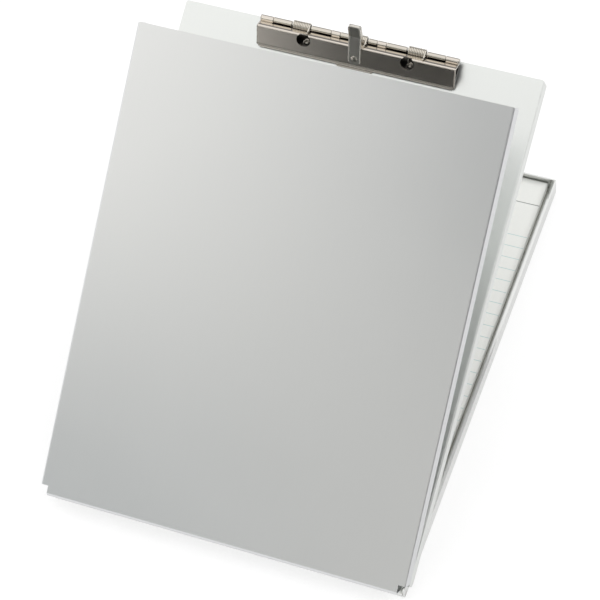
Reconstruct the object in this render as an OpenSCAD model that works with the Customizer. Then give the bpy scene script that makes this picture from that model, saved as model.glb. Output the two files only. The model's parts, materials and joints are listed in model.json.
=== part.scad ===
// Storage clipboard box: a tray for blank forms, a writing plate with a spring clip that
// closes the tray, and a cover for the written forms. All three are folded from aluminium
// sheet and turn on one steel rod along the bottom edge.
// Frame: millimetres, +Z up. The origin is the middle of the tray's flat underside,
// +Y runs from the hinge to the clip, +X is the writer's right-hand side.

/* [Tray] */
// Width over the tray's side walls
tray_w = 234; // [200:1:280]
// Length from the hinge rod's centre to the outside of the top wall
tray_len = 325.3; // [280:0.1:380]
// Height of the tray's rim above its underside
tray_h = 12; // [10:0.5:16]
// Thickness of the folded sheet
sheet = 1.0; // [0.8:0.1:1.2]
// Plan radius of the tray's two top corners
tray_corner_r = 1.3; // [1.3:0.1:8]
// Outer radius of the folds
fold_r = 1.3; // [1.3:0.1:2]

/* [Writing plate] */
// Gap between the tray's wall and the plate's side flange
plate_side_gap = 2.0; // [1:0.1:3]
// Depth of the plate's side flanges
plate_flange = 10.2; // [7:0.1:11.5]
// How far the plate reaches past the tray's top wall
plate_overhang = 1.5; // [0.5:0.1:4]
// Plan radius of the plate's top corners
plate_corner_r = 2; // [1.5:0.1:5]
// Distance from the hinge at which the plate's flanges start
plate_flange_start = 4.5; // [3:0.5:12]

/* [Cover] */
// How far the cover stands out past the plate on each side
cover_side_step = 0.5; // [0.2:0.1:1]
// Depth of the cover's side flanges
cover_flange = 12; // [8:0.1:16]
// Gap between the cover's top edge and the clip
cover_clip_gap = 2.5; // [0.5:0.1:4]
// Plan radius of the cover's top corners
cover_corner_r = 1.5; // [1.4:0.1:5]
// Distance from the hinge at which the cover's full width starts
cover_wide_start = 9.2; // [8:0.1:14]
// Outer radius of the roll along the cover's bottom edge
cover_roll_r = 2.4; // [1.3:0.1:3]

/* [Hinge] */
// Diameter of the hinge rod
rod_d = 3.2; // [2.4:0.1:4]
// Radial running clearance of every rod, pin and rivet
run_gap = 0.05; // [0.02:0.01:0.08]
// Gap between neighbouring knuckles
knuckle_gap = 0.35; // [0.3:0.05:0.6]
// Gap between the knuckle row or a tongue and the tray's side walls
wall_gap = 0.5; // [0.4:0.1:1]
// Gap that a panel keeps to the one under it when closed
lay_gap = 0.3; // [0.3:0.1:0.6]
// Angle at which the plate stands open above the tray
plate_open = 28.1; // [0:0.1:60]
// Angle at which the cover stands open above the plate
cover_open = 11.7; // [0:0.1:60]

/* [Clip] */
// Length of the clip's jaw
clip_w = 132; // [126:1:160]
// Thickness of the clip's sheet
clip_sheet = 0.9; // [0.8:0.1:1]
// Height of the jaw's ridge above the plate
ridge_h = 12.2; // [11.5:0.1:14]
// Distance from the clip's pin forward to the ridge
ridge_ahead = 6.3; // [5.8:0.1:8]
// Distance from the clip's pin forward to the foot of the jaw's face
foot_ahead = 15.6; // [15:0.1:19]
// Width of the lip at the foot of the jaw's face
lip_w = 1.75; // [1.5:0.05:3]
// Angle at which the lip falls towards its front edge
lip_tilt = 12; // [0:1:20]
// Height of the clip's pin above the plate
pin_h = 7; // [6.5:0.1:7.5]
// Distance from the plate's top edge to the clip's pin
pin_inset = 1.8; // [1.5:0.1:4]
// Diameter of the clip's pin
pin_d = 2.1; // [1.8:0.1:2.3]
// Gap between the knuckles of the base and of the jaw
barrel_gap = 0.55; // [0.3:0.05:0.8]
// Distance from the middle of the clip to each base rivet
rivet_out = 34.5; // [33.5:0.5:37]
// Diameter of the access holes above the base rivets
access_d = 9.4; // [8:0.2:10]
// Width of the base's front tab
tab_w = 22.5; // [18:0.5:40]
// How far the front tab reaches past the jaw's lip
tab_reach = 1.1; // [0.8:0.1:2.5]

/* [Lever] */
// Width of the thumb lever
lever_w = 8.2; // [7:0.2:9]
// Thickness of the thumb lever
lever_t = 1.2; // [1:0.1:1.5]
// How far the lever runs straight on past the ridge
lever_past = 8; // [5:0.5:9]
// Length of the lever's steep part
lever_rise = 8.6; // [6:0.2:12]
// Slope of the lever's steep part
lever_slope = 64; // [50:1:72]
// Radius of the bend between the lever's straight and steep parts
lever_bend_r = 3; // [1:0.5:6]
// Inner radius of the hem that is folded back at the lever's top
hem_in = 0.15; // [0.1:0.05:1]
// Length of the lever's folded-back tail
tail_len = 12; // [6:0.5:13]

/* [Springs] */
// Diameter of the spring wire
wire_d = 1.0; // [0.8:0.1:1.1]
// Diameter of the coils at the middle of the wire
coil_d = 5.2; // [4.9:0.1:5.4]
// Turns of each coil
coil_turns = 11; // [8:1:11]

/* [Pad] */
// Gap between the forms and the tray's right-hand wall
pad_right_gap = 4.8; // [1:0.1:12]
// Gap between the forms and the tray's left-hand wall
pad_left_gap = 11.2; // [1:0.1:20]
// Gap between the forms and the tray's top wall
pad_top_gap = 0.8; // [0.5:0.1:8]
// Distance from the hinge rod's centre to the forms
pad_from_rod = 18.5; // [8:0.1:40]
// Thickness of the block of forms
pad_h = 6.6; // [1:0.1:9]
// Thickness of the cardboard back
back_h = 0.6; // [0.4:0.1:1]
// Thickness of the gum line along the forms' top edge
glue_t = 0.4; // [0.3:0.1:1]

/* [Hidden] */

$fn = 64;
bend_steps = 6;

// panels
rod_r = rod_d / 2;
rod_chamfer = 0.3;
bore_r = rod_r + run_gap;
knuckle_r = bore_r + sheet;
tray_mid_y = (tray_len - knuckle_r) / 2;
plate_w = tray_w + 2 * (plate_side_gap + sheet);
cover_w = plate_w + 2 * cover_side_step;
plate_top = tray_h + lay_gap + sheet;
cover_top = plate_top + lay_gap + cover_flange;
plate_len = tray_len + plate_overhang;
row_w = tray_w - 2 * (sheet + wall_gap);
end_wall_in = knuckle_r - sheet;

// knuckle row: which panel owns each knuckle, from left to right
ROW = ["t", "p", "c", "p", "t", "p", "c", "p", "t", "p", "c", "p", "t", "p", "c", "p", "t"];
pitch = row_w / len(ROW);
swing_gap = 0.6;
swing_r = knuckle_r + swing_gap;
slot_depth = 2.2;
floor_start = 3;
wall_end_r = 3;

// clip, measured from the pin: ahead is towards the writer
clip_bore_r = pin_d / 2 + run_gap;
curl_r = clip_bore_r + clip_sheet;
pin_y = plate_len - pin_inset;
pin_past = 0.3;
lip_top = 2 * clip_sheet + lay_gap;
lip_front = foot_ahead + lip_w;
lip_bevel = 4;
foot_h = lip_top + lip_w * tan(lip_tilt);
clip_front = lip_front + tab_reach;
tab_bevel = 2;
cover_len = pin_y - clip_front - cover_clip_gap;
base_inset = 0.5;
base_front = lip_front - base_inset;
base_w = clip_w - 4 * base_inset;
// stretches of the barrel, from the middle outwards: the base's and the jaw's knuckles
BASE_SPANS = [[6.4, 12.0], [18.6, 31.6], [45.2, 57.0]];
JAW_SPANS = [[BASE_SPANS[0][1] + barrel_gap, BASE_SPANS[1][0] - barrel_gap],
             [BASE_SPANS[2][1] + barrel_gap, clip_w / 2]];
coil_gap = 0.7;
coil_half = BASE_SPANS[0][0] - coil_gap;
coil_out = BASE_SPANS[1][1] + coil_gap;
coil_len = BASE_SPANS[2][0] - coil_gap - coil_out;
notch_gap = 0.4;
notch_r = coil_d / 2 + wire_d / 2 + notch_gap;
face_slope = atan2(ridge_h - foot_h, foot_ahead - ridge_ahead);
face_len = norm([foot_ahead - ridge_ahead, ridge_h - foot_h]);
// slope of the rear face, so that the sheet runs into the curl just inside its tangent
ridge_from_pin = norm([ridge_ahead, ridge_h - pin_h]);
sink = 0.05;
rear_off = curl_r - clip_sheet - sink;
rear_slope = atan2(ridge_h - pin_h, ridge_ahead) + asin(rear_off / ridge_from_pin);
rear_len = sqrt(ridge_from_pin * ridge_from_pin - rear_off * rear_off);
access_from_ridge = 4.0;
hem_r = lever_t + hem_in;
hem_turn = 177;
HEM_STEPS = 12;
end_r = 2.6;
rivet_r = 1.25;
rivet_head_r = 2.2;
rivet_head_h = 0.8;
rivet_y = pin_y - 8;
lever_rivet_up = 5.2;
wire_r = wire_d / 2;
leg_gap = 0.4;
leg_out = wire_r + leg_gap;
WIRE_SIDES = 6;
TURN_STEPS = 12;

// pad
pad_w = tray_w - 2 * sheet - pad_left_gap - pad_right_gap;
pad_len = tray_len - sheet - pad_top_gap - pad_from_rod;
form_h = 0.2;

// ---------- helpers ----------

// unit vector at an angle in the plane
function dir(a) = [cos(a), sin(a)];

// the angle of the segment that leaves point i of a path
function heading(p, i) = atan2(p[i + 1][1] - p[i][1], p[i + 1][0] - p[i][0]);

// turn from one heading to another, within half a turn
function turn(a, b) = let (d = b - a) d > 180 ? d - 360 : d < -180 ? d + 360 : d;

// a path with each inner corner rounded to the radius r
function rounded(p, r) = [
    for (i = [0 : len(p) - 1])
        if (i == 0 || i == len(p) - 1) p[i]
        else let (a = heading(p, i - 1), b = heading(p, i), t = turn(a, b), s = sign(t),
                  back = r * tan(abs(t) / 2), c = p[i] - back * dir(a) + r * s * dir(a + 90))
            for (k = [0 : bend_steps]) c + r * dir(a - 90 * s + t * k / bend_steps)
];

// the left-hand offset of a path, mitred at its corners
function beside(p, t) = [
    for (i = [0 : len(p) - 1])
        let (a = heading(p, max(i - 1, 0)), b = heading(p, min(i, len(p) - 2)), h = turn(a, b) / 2)
            p[i] + t / cos(h) * dir(a + h + 90)
];

// outline of a sheet that follows a path, with its thickness to the right of it
function folded(p, t) = let (q = beside(p, -t)) concat(p, [for (i = [len(q) - 1 : -1 : 0]) q[i]]);

// a section drawn in y and z, run along x between two places
module along_x(x0, x1) {
    translate([x0, 0, 0]) rotate([90, 0, 90]) linear_extrude(x1 - x0) children();
}

// a section drawn in x and z, run along y between two places
module along_y(y0, y1) {
    translate([0, y1, 0]) rotate([90, 0, 0]) linear_extrude(y1 - y0) children();
}

// a rod along x
module rod(x0, x1, r) {
    translate([x0, 0, 0]) rotate([0, 90, 0]) cylinder(h = x1 - x0, r = r);
}

// plan of a panel, with its two far corners rounded
module panel_plan(w, y0, y1, r) {
    translate([-w / 2, y0]) square([w, y1 - y0 - r]);
    translate([-w / 2 + r, y0]) square([w - 2 * r, y1 - y0]);
    for (s = [-1, 1]) translate([s * (w / 2 - r), y1 - r]) circle(r);
}

// face and two side flanges of a panel, folded from one sheet
module channel(w, top, depth) {
    p = [[-w / 2, top - depth], [-w / 2, top], [w / 2, top], [w / 2, top - depth]];
    polygon(folded(rounded(p, fold_r), sheet));
}

// the places of the knuckle row that belong to one panel
module knuckle_spans(owner, grow = 0) {
    for (i = [0 : len(ROW) - 1])
        if (ROW[i] == owner) {
            x0 = -row_w / 2 + i * pitch + knuckle_gap / 2 - grow;
            x1 = x0 + pitch - knuckle_gap + 2 * grow;
            along_x(x0, x1) children();
        }
}

// ring of a knuckle round the hinge rod
module knuckle_ring() {
    difference() {
        circle(knuckle_r);
        circle(bore_r);
    }
}

// children, drawn round the hinge rod, moved to their place in the closed box
module at_rod() {
    translate([0, 0, knuckle_r]) children();
}

// children, drawn closed, opened about the hinge rod and put in the part's frame
module opened(angle) {
    translate([0, -tray_mid_y, knuckle_r]) rotate([angle, 0, 0]) translate([0, 0, -knuckle_r])
        children();
}

// children, drawn with the pin's foot on the plate as origin, put on the open plate
module on_plate() {
    opened(plate_open) translate([0, pin_y, plate_top]) children();
}

// ---------- tray and its rod ----------

// outline of a side wall, rounded about the rod at the hinge end
module side_wall_outline() {
    far = tray_len - tray_corner_r;
    rim = tray_h - knuckle_r;
    circle(knuckle_r);
    translate([0, -knuckle_r]) square([far, knuckle_r]);
    translate([-knuckle_r, 0]) square([far + knuckle_r, rim - wall_end_r]);
    translate([-knuckle_r + wall_end_r, rim - wall_end_r]) circle(wall_end_r);
    translate([-knuckle_r + wall_end_r, 0]) square([far + knuckle_r - wall_end_r, rim]);
}

module storage_tray() color([0.78, 0.80, 0.80]) opened(0) {
    floor_cut = knuckle_r + 2;
    difference() {
        union() {
            // floor and top wall
            difference() {
                linear_extrude(tray_h) panel_plan(tray_w, 0, tray_len, tray_corner_r);
                translate([0, 0, sheet]) linear_extrude(tray_h)
                    panel_plan(tray_w - 2 * sheet, -sheet, tray_len - sheet, tray_corner_r - sheet);
                translate([-tray_w, -1, -1]) cube([2 * tray_w, floor_start + 1, sheet * 2]);
                translate([-tray_w, -1, -1]) cube([2 * tray_w, 2, tray_h + 2]);
            }
            // side walls
            for (x = [-tray_w / 2, tray_w / 2 - sheet])
                at_rod() along_x(x, x + sheet) side_wall_outline();
            // floor up to the row of knuckles
            translate([-tray_w / 2 + sheet + wall_gap, 0, 0])
                cube([row_w, floor_start + 1, sheet]);
            at_rod() knuckle_spans("t") knuckle_ring();
        }
        // room for the other panels' knuckles
        for (owner = ["p", "c"])
            at_rod() knuckle_spans(owner, knuckle_gap)
                translate([-knuckle_r - 1, -knuckle_r - 1])
                    square([floor_cut + knuckle_r + 1, knuckle_r + 2]);
        // bore for the rod
        at_rod() rod(-tray_w, tray_w, bore_r);
    }
}

module hinge_rod() color([0.72, 0.72, 0.70]) opened(0) at_rod() {
    reach = tray_w / 2;
    rotate([0, 90, 0]) rotate_extrude() polygon([
        [0, -reach], [rod_r - rod_chamfer, -reach], [rod_r, rod_chamfer - reach],
        [rod_r, reach - rod_chamfer], [rod_r - rod_chamfer, reach], [0, reach]]);
}

// ---------- writing plate ----------

module writing_plate() color([0.80, 0.82, 0.82]) opened(plate_open) {
    wall_foot = knuckle_r + swing_r;
    end_r = plate_flange / 2;
    difference() {
        union() {
            // face and side flanges
            intersection() {
                along_y(plate_flange_start, plate_len) channel(plate_w, plate_top, plate_flange);
                linear_extrude(plate_top + 1)
                    panel_plan(plate_w, plate_flange_start, plate_len, plate_corner_r);
            }
            // tongue towards the hinge
            translate([-row_w / 2, end_wall_in, plate_top - sheet])
                cube([row_w, plate_flange_start - end_wall_in + 1, sheet]);
            // end wall down to the knuckles
            translate([-row_w / 2, end_wall_in, wall_foot])
                cube([row_w, sheet, plate_top - wall_foot]);
            knuckle_spans("p") translate([end_wall_in, knuckle_r])
                square([sheet, plate_top - knuckle_r - sheet / 2]);
            at_rod() knuckle_spans("p") knuckle_ring();
        }
        // slots for the cover's fingers
        knuckle_spans("c", knuckle_gap) translate([end_wall_in - 1, knuckle_r - 1])
            square([1 + slot_depth, plate_top - knuckle_r + 2]);
        // rounded lower corner where each flange starts
        for (s = [-1, 1])
            translate([s * (plate_w / 2 - sheet / 2), plate_flange_start, plate_top - plate_flange])
                rotate([0, 90, 0]) flange_corner_cut(end_r);
        at_rod() rod(-plate_w, plate_w, bore_r);
        // holes for the clip's rivets
        for (s = [-1, 1]) translate([s * rivet_out, rivet_y, 0])
            cylinder(h = plate_top + 1, r = rivet_r + run_gap);
    }
}

// cutter that rounds the corner at the start of a flange; x is down, y is along the flange
module flange_corner_cut(r) {
    translate([0, 0, -sheet]) difference() {
        translate([-r, -1, 0]) cube([r + 1, r + 1, 2 * sheet]);
        translate([-r, r, -1]) cylinder(h = 2 * sheet + 2, r = r);
    }
}

// ---------- cover ----------

module cover_plate() color([0.86, 0.88, 0.88]) opened(plate_open + cover_open) {
    wall_foot = plate_top + 2 * lay_gap;
    difference() {
        union() {
            intersection() {
                along_y(cover_wide_start, cover_len) channel(cover_w, cover_top, cover_flange);
                linear_extrude(cover_top + 1)
                    panel_plan(cover_w, cover_wide_start, cover_len, cover_corner_r);
            }
            // tongue and end wall, folded as one
            along_x(-row_w / 2, row_w / 2) polygon(folded(rounded([
                [knuckle_r, wall_foot], [knuckle_r, cover_top], [cover_wide_start + 1, cover_top]],
                cover_roll_r), sheet));
            // fingers down to the knuckles
            knuckle_spans("c") translate([end_wall_in, knuckle_r])
                square([sheet, wall_foot - knuckle_r + 1]);
            at_rod() knuckle_spans("c") knuckle_ring();
        }
        at_rod() rod(-cover_w, cover_w, bore_r);
    }
}

// ---------- clip ----------

// stretches of the barrel on both sides of the middle
module both_spans(spans) {
    for (s = [0, 1], span = spans) mirror([s, 0, 0]) along_x(span[0], span[1]) children();
}

module clip_base() color([0.60, 0.59, 0.56]) on_plate() difference() {
    union() {
        translate([-base_w / 2, -base_front, 0])
            cube([base_w, base_front + curl_r - fold_r, clip_sheet]);
        // front tab with bevelled ends
        linear_extrude(clip_sheet) polygon([
            [-tab_w / 2 - tab_bevel, -base_front], [-tab_w / 2, -clip_front],
            [tab_w / 2, -clip_front], [tab_w / 2 + tab_bevel, -base_front]]);
        // rear wall and knuckles
        both_spans(BASE_SPANS) {
            polygon(folded(rounded([[curl_r, pin_h], [curl_r, 0], [-1, 0]], fold_r), clip_sheet));
            translate([0, pin_h]) circle(curl_r);
        }
    }
    translate([0, 0, pin_h]) rod(-clip_w, clip_w, clip_bore_r);
    for (s = [-1, 1]) translate([s * rivet_out, rivet_y - pin_y, -1])
        cylinder(h = clip_sheet + 2, r = rivet_r + run_gap);
}

module base_rivets() color([0.70, 0.70, 0.68]) on_plate()
    for (s = [-1, 1]) translate([s * rivet_out, rivet_y - pin_y, 0]) {
        translate([0, 0, -sheet - rivet_head_h / 2])
            cylinder(h = sheet + clip_sheet + rivet_head_h, r = rivet_r);
        translate([0, 0, clip_sheet]) rivet_head();
        translate([0, 0, -sheet]) mirror([0, 0, 1]) rivet_head();
    }

// low domed rivet head that stands on z = 0
module rivet_head() {
    ball_r = (rivet_head_r * rivet_head_r + rivet_head_h * rivet_head_h) / (2 * rivet_head_h);
    intersection() {
        translate([0, 0, rivet_head_h - ball_r]) sphere(ball_r);
        cylinder(h = rivet_head_h + 1, r = rivet_head_r + 1);
    }
}

module clip_pin() color([0.72, 0.72, 0.70]) on_plate() translate([0, 0, pin_h])
    rod(-clip_w / 2 - pin_past, clip_w / 2 + pin_past, pin_d / 2);

// a place on the jaw's face: up from the foot along the slope, out from the surface
module on_face(up, out = 0) {
    translate([0, -foot_ahead, foot_h]) rotate([face_slope, 0, 0]) translate([0, up, out])
        children();
}

module clip_jaw() color([0.42, 0.41, 0.38]) on_plate() {
    path = rounded([
        [-lip_front, lip_top], [-foot_ahead, foot_h], [-ridge_ahead, ridge_h],
        [-ridge_ahead + rear_len * cos(rear_slope), ridge_h - rear_len * sin(rear_slope)]],
        fold_r);
    difference() {
        union() {
            along_x(-clip_w / 2, clip_w / 2) polygon(folded(path, clip_sheet));
            both_spans(JAW_SPANS) translate([0, pin_h]) circle(curl_r);
        }
        translate([0, 0, pin_h]) rod(-clip_w, clip_w, clip_bore_r);
        // room for the base's knuckles and the springs
        translate([0, 0, pin_h]) {
            rod(-JAW_SPANS[0][0], JAW_SPANS[0][0], notch_r);
            for (s = [0, 1]) mirror([s, 0, 0]) rod(JAW_SPANS[0][1], JAW_SPANS[1][0], notch_r);
        }
        // access holes above the base's rivets
        for (s = [-1, 1]) on_face(face_len - access_from_ridge, -2 * clip_sheet)
            translate([s * rivet_out, 0, 0]) cylinder(h = 4 * clip_sheet, r = access_d / 2);
        // bevelled ends of the lip
        for (s = [0, 1]) mirror([s, 0, 0]) translate([0, 0, clip_sheet])
            linear_extrude(foot_h) polygon([
                [clip_w / 2 + 1, -foot_ahead - fold_r / 3], [clip_w / 2, -foot_ahead - fold_r / 3],
                [clip_w / 2 - lip_bevel, -lip_front - 1], [clip_w / 2 + 1, -lip_front - 1]]);
        on_face(lever_rivet_up, -2 * clip_sheet) cylinder(h = 4 * clip_sheet, r = rivet_r + run_gap);
    }
}

// places on the lever's front side in y and z: a distance up the face, and the hem's centre
function on_strap(up) = [-foot_ahead, foot_h] + lever_t * dir(face_slope + 90) + up * dir(face_slope);
function hem_centre() = on_strap(face_len + lever_past)
    + lever_rise * dir(lever_slope) + hem_r * dir(lever_slope - 90);

// front side of the lever, from below its rivet up over the hem to the end of the tail
function lever_side() = let (
    hem = [for (k = [0 : HEM_STEPS])
        hem_centre() + hem_r * dir(lever_slope + 90 - hem_turn * k / HEM_STEPS)],
    strap = [on_strap(lever_rivet_up - lever_w / 2), on_strap(face_len + lever_past), hem[0]],
    tail = hem[HEM_STEPS] + tail_len * dir(lever_slope - hem_turn))
    concat(rounded(strap, lever_bend_r), [for (k = [1 : HEM_STEPS]) hem[k]], [tail]);

// outline that rounds one end of the lever: everything beyond a half circle
module end_cut(reach) {
    difference() {
        translate([-lever_w, 0, -reach]) cube([2 * lever_w, lever_w, 2 * reach]);
        for (x = [-1, 1]) translate([x * (lever_w / 2 - end_r), 0, -reach - 1])
            cylinder(h = 2 * reach + 2, r = end_r + sink);
        translate([-lever_w / 2 + end_r, -1, -reach - 1])
            cube([lever_w - 2 * end_r, end_r + 1 + sink, 2 * reach + 2]);
    }
}

module thumb_lever() color([0.40, 0.40, 0.38]) on_plate() {
    crown = hem_centre() + hem_r * dir(lever_slope);
    difference() {
        along_x(-lever_w / 2, lever_w / 2) polygon(folded(lever_side(), lever_t));
        on_face(lever_rivet_up, -1) cylinder(h = lever_t + 2, r = rivet_r + run_gap);
        on_face(lever_rivet_up - lever_w / 2 + end_r) rotate([0, 0, 180]) end_cut(lever_t + 1);
        translate([0, crown[0], crown[1]]) rotate([lever_slope, 0, 0])
            translate([0, -end_r, 0]) end_cut(2 * hem_r + 2);
    }
}

module lever_rivet() color([0.62, 0.61, 0.58]) on_plate() on_face(lever_rivet_up) {
    translate([0, 0, -clip_sheet - rivet_head_h / 2])
        cylinder(h = clip_sheet + lever_t + rivet_head_h, r = rivet_r);
    translate([0, 0, lever_t]) rivet_head();
    translate([0, 0, -clip_sheet]) mirror([0, 0, 1]) rivet_head();
}

// ---------- springs ----------

// a place above the jaw's rear face in y and z, from the pin: down from the ridge, and out
function off_rear(down, out) = [-ridge_ahead, ridge_h - pin_h]
    + down * dir(-rear_slope) + out * dir(90 - rear_slope);

// centre line of a torsion spring round the pin, from x = -half to x = half: a leg that
// bears on the base, the coil, and a leg that lies on the jaw's rear face
function spring_line(half) = let (
    r = coil_d / 2, n = coil_turns * TURN_STEPS, x = half - wire_r,
    base_leg = [[-2.5 * r, clip_sheet + leg_out - pin_h], [-1.3 * r, -r - wire_d]],
    jaw_leg = [[-0.7 * r, r + wire_r / 2], off_rear(3.5, leg_out), off_rear(1.7, leg_out)])
    concat(
        [for (q = base_leg) [-x, q[0], q[1]]],
        [for (i = [0 : n]) let (a = -90 + 360 * (coil_turns - 0.5) * i / n)
            [-x + 2 * x * i / n, r * cos(a), r * sin(a)]],
        [for (q = jaw_leg) [x, q[0], q[1]]]);

function unit(v) = v / norm(v);

// round wire along a line of points, as one closed mesh
module wire(line, r) {
    n = len(line);
    m = WIRE_SIDES;
    points = [for (i = [0 : n - 1])
        let (t = unit(line[min(i + 1, n - 1)] - line[max(i - 1, 0)]),
             u = unit(cross([1, 0.001, 0], t)), v = cross(t, u))
        for (k = [0 : m - 1]) line[i] + r * (cos(360 * k / m) * u + sin(360 * k / m) * v)];
    sides = [for (i = [0 : n - 2], k = [0 : m - 1])
        let (a = i * m + k, b = i * m + (k + 1) % m) [a, a + m, b + m, b]];
    caps = [[for (k = [0 : m - 1]) k], [for (k = [m - 1 : -1 : 0]) (n - 1) * m + k]];
    polyhedron(points, concat(sides, caps), convexity = 10);
}

module torsion_spring(x, half) color([0.80, 0.76, 0.70]) on_plate()
    translate([x, 0, pin_h]) wire(spring_line(half), wire_r);

module spring_left() torsion_spring(-coil_out - coil_len / 2, coil_len / 2);
module spring_centre() torsion_spring(0, coil_half);
module spring_right() torsion_spring(coil_out + coil_len / 2, coil_len / 2);

// ---------- pad ----------

// a slab of the pad: its height above the tray's floor, its thickness, and how much shorter
// it is than the pad at the top edge
module pad_slab(above, h, shorter = 0) opened(0)
    translate([-tray_w / 2 + sheet + pad_left_gap, pad_from_rod, sheet + above])
        cube([pad_w, pad_len - shorter, h]);

module pad_backing() color([0.55, 0.45, 0.33]) pad_slab(0, back_h);
module pad_sheets() color([0.95, 0.95, 0.93]) pad_slab(back_h, pad_h - form_h, glue_t);
module top_form() color([0.97, 0.97, 0.96]) pad_slab(back_h + pad_h - form_h, form_h, glue_t);
module pad_glue() color([0.85, 0.83, 0.78])
    translate([0, pad_len - glue_t, 0]) pad_slab(back_h, pad_h, pad_len - glue_t);

storage_tray();
hinge_rod();
writing_plate();
cover_plate();
clip_base();
base_rivets();
clip_pin();
clip_jaw();
thumb_lever();
lever_rivet();
spring_left();
spring_centre();
spring_right();
pad_backing();
pad_sheets();
top_form();
pad_glue();
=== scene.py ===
"""Finish and studio of the storage clipboard box.

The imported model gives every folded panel, knuckle, pin and rivet at its real size. This
file adds what the model leaves plain: smooth wound springs, a pad of loose-edged forms with
its ruled top form, eased sheet edges, and the finish of every surface. Lengths are metres
in the model's own frame: +Z up, +Y from the hinge rod to the clip.
"""

import json
import math

import bmesh
import bpy
import numpy as np
from mathutils import Matrix, Vector


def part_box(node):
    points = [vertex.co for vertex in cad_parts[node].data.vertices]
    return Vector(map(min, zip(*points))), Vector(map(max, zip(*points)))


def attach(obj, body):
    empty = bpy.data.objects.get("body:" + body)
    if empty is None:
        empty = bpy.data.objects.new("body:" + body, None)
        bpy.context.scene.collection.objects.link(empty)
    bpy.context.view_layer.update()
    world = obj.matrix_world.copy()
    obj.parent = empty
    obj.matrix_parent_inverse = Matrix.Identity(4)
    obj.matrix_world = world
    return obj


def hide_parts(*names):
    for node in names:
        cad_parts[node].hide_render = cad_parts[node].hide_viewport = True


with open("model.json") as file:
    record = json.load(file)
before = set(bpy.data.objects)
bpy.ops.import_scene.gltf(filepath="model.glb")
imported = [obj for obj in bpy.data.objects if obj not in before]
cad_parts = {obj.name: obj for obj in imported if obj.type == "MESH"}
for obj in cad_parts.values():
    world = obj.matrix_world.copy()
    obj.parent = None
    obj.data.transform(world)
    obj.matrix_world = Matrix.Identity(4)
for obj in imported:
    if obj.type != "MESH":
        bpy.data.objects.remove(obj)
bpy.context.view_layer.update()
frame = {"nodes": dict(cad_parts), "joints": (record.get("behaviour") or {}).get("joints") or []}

bl_info = {
    "name": "Storage Clipboard Box Finish",
    "version": (1, 0, 0),
    "blender": (4, 5, 0),
    "location": "View3D > Sidebar > Clipboard",
    "description": "Springs, forms pad, metal finishes and studio of a storage clipboard box",
    "category": "Object",
}

MM = 0.001
WHITE = (1.0, 1.0, 1.0, 1.0)

# slopes of the open panels in the model, which the grain of each sheet follows
PLATE_SLOPE = math.radians(28.1)
COVER_SLOPE = math.radians(39.8)

# eased copies of the sheets: points closer than the gap are merged, facets that meet at
# less than the flat angle are joined, and edges over the sharp angle are eased in steps; the
# weight, of 100, is how much large faces lead the shading
MERGE_GAP = 0.002 * MM
FLAT_ANGLE = math.radians(0.4)
SHARP_ANGLE = math.radians(32)
EASE_STEPS = 2
FLAT_FACE_WEIGHT = 90

# springs: points in a turn and in a leg, facets round the wire, rings of its rounded tips,
# and the bends of the foot and of the arm, set out from the end of the coil
TURN_POINTS = 40
LEG_POINTS = 12
WIRE_SIDES = 14
TIP_RINGS = np.radians([22.5, 45.0, 67.5])
FOOT_BENDS = np.array([[0.0, -6.5, -2.6], [0.0, -4.4, -1.2], [0.0, -1.6, 0.0]]) * MM
ARM_BENDS = np.array([[0.0, -1.5, 0.0], [0.0, -3.2, 0.55], [0.0, -4.5, 2.0]]) * MM

# block of forms: points along each side, waves round a layer's edge, seed of the layers'
# random places, and height of a band of pages; and as parts of the looseness, the most that
# a layer lies back, half the height of its waves, and how far the top layer lies back
SIDE_POINTS = 40
WAVES_ROUND = 3
LAYER_SEED = 7
PAGE_BAND = 0.3 * MM
LAYER_BACK = 0.6
EDGE_WAVE = 0.2
TOP_BACK = 0.4

# top form: its grid, and how sharply its corners rise across and along the sheet
FORM_COLUMNS, FORM_ROWS = 49, 65
CURL_ACROSS, CURL_ALONG = 6, 8

# ruled lines: their widths, how strong the pale ink is, and the blank part at the low edge;
# a line is full within the first of its shares of the width, and gone beyond the second
HEADER_WIDTH = 0.55 * MM
RULE_WIDTH = 0.42 * MM
LINE_SHARES = (0.35, 0.65)
RULE_INK = 0.8
BLANK_FOOT = 12 * MM

# widths of the eased edges of the pad's board and of its gum line
BOARD_EASE = 0.15 * MM
GUM_EASE = 0.12 * MM

# roughness of the round stock
ROD_ROUGH = 0.28
RIVET_ROUGH = 0.24
PIN_ROUGH = 0.24
WIRE_ROUGH = 0.2

# satin of each sheet: roughness and how far it varies, how far the tone varies, fineness
# and strength of the grain, and what the tone is multiplied by as painted light on the panels
# and painted shade on the jaw, on the sides that face down to the panel below; and likewise,
# as painted shade on the clip's foot, and on the foot's front edge as a painted highlight on
# the jaw and painted shade on the base
PANEL_SATIN = dict(rough=0.31, spread=0.05, contrast=0.03, fineness=2600.0, relief=0.06,
                   painted_downward_tone=1.25)
TRAY_SATIN = dict(PANEL_SATIN, rough=0.18)
LEVER_SATIN = dict(rough=0.27, spread=0.015, contrast=0.025, fineness=3200.0, relief=0.008)
JAW_SATIN = dict(LEVER_SATIN, painted_downward_tone=0.12, painted_foot_tones=(0.56, 1.25))
BASE_SATIN = dict(rough=0.26, spread=0.03, contrast=0.04, fineness=3200.0, relief=0.015,
                  painted_foot_tones=(0.8, 0.65))
# fineness of the slow clouds, depth of the grain, and how far a rolled end reaches
CLOUD_SCALE = 14.0
GRAIN_DEPTH = 0.02 * MM
END_ROLL = 0.7 * MM
# the z of a side's normal where the painted tone of the downward sides, painted light on the
# panels and painted shade on the jaw, is full, and where it ends
FACING_DOWN = (-0.5, -0.3)
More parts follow.
